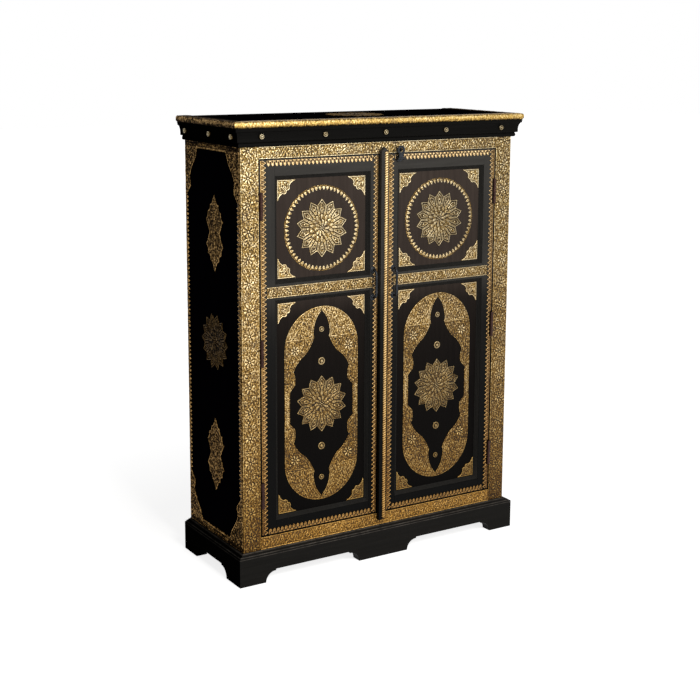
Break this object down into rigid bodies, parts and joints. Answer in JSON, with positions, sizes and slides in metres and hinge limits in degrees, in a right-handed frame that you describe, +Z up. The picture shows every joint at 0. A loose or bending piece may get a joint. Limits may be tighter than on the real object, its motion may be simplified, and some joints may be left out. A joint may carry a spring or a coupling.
{
  "type": "cabinet",
  "caption": "Tall two-door cabinet of dark boards clad with embossed sheet brass, on a bracket plinth, with hinged panelled doors, iron pulls and a hasp.",
  "frame": {"origin": "on the floor under the middle of the cabinet's bounding box", "axes": "+Z up, the doors face -Y, +X to the right of someone facing the doors"},
  "size_m": [1.026, 0.389, 1.371],
  "materials": {
    "black_wood": "ebonised, satin with worn edges",
    "panel_wood": "dark red-brown, satin",
    "inner_wood": "oiled, matt",
    "antique_brass": "embossed, aged with dark recesses",
    "polished_brass": "burnished",
    "black_iron": "forged, blackened",
    "brown_iron": "aged brown"
  },
  "bodies": {
    "case": {"side_panel_left": "black_wood", "side_panel_right": "black_wood", "back_boards": "inner_wood", "bottom_board": "inner_wood", "inner_top_board": "inner_wood", "lower_shelf": "inner_wood", "upper_shelf": "inner_wood", "shelf_battens": "inner_wood", "frame_stile_left": "black_wood", "frame_stile_right": "black_wood", "frame_top_rail": "black_wood", "frame_bottom_rail": "black_wood", "front_frame_brass": "antique_brass", "plinth_front": "black_wood", "plinth_left": "black_wood", "plinth_right": "black_wood", "plinth_back": "black_wood", "cornice_front": "black_wood", "cornice_left": "black_wood", "cornice_right": "black_wood", "cornice_studs": "antique_brass", "top_board": "black_wood", "top_edge_brass": "polished_brass", "top_rosette": "antique_brass", "side_border_brass_left": "antique_brass", "side_border_brass_right": "antique_brass", "side_medallions_left": "antique_brass", "side_medallions_right": "antique_brass", "hinge_frame_leaves": "brown_iron", "hinge_pins": "brown_iron", "hasp_staple": "black_iron"},
    "left_door": {"left_door_hinge_stile": "black_wood", "left_door_meeting_stile": "black_wood", "left_door_rails": "black_wood", "left_door_panels": "panel_wood", "left_door_mouldings": "black_wood", "left_door_edge_brass": "antique_brass", "left_door_corner_pieces": "antique_brass", "left_door_medallions": "antique_brass", "left_door_arch_plate": "antique_brass", "left_door_studs": "antique_brass", "left_door_handle": "black_iron", "left_door_hinge_leaves": "brown_iron"},
    "right_door": {"right_door_hinge_stile": "black_wood", "right_door_meeting_stile": "black_wood", "right_door_rails": "black_wood", "right_door_panels": "panel_wood", "right_door_mouldings": "black_wood", "right_door_edge_brass": "antique_brass", "right_door_corner_pieces": "antique_brass", "right_door_medallions": "antique_brass", "right_door_arch_plate": "antique_brass", "right_door_studs": "antique_brass", "right_door_handle": "black_iron", "right_door_hinge_leaves": "brown_iron", "astragal": "black_wood", "astragal_rod": "antique_brass", "hasp_foot": "black_iron"},
    "hasp_strap": {"hasp": "black_iron"}
  },
  "joints": [
    {"name": "left_door_hinge", "type": "hinge", "parent": "case", "child": "left_door", "pos_m": [-0.419, -0.1715, 0.696], "axis": [0, 0, -1], "range_deg": [0, 170]},
    {"name": "right_door_hinge", "type": "hinge", "parent": "case", "child": "right_door", "pos_m": [0.419, -0.1715, 0.696], "axis": [0, 0, 1], "range_deg": [0, 170]},
    {"name": "hasp_pivot", "type": "hinge", "parent": "right_door", "child": "hasp_strap", "pos_m": [0.055, -0.1795, 1.246], "axis": [1, 0, 0], "range_deg": [0, 180]}
  ]
}
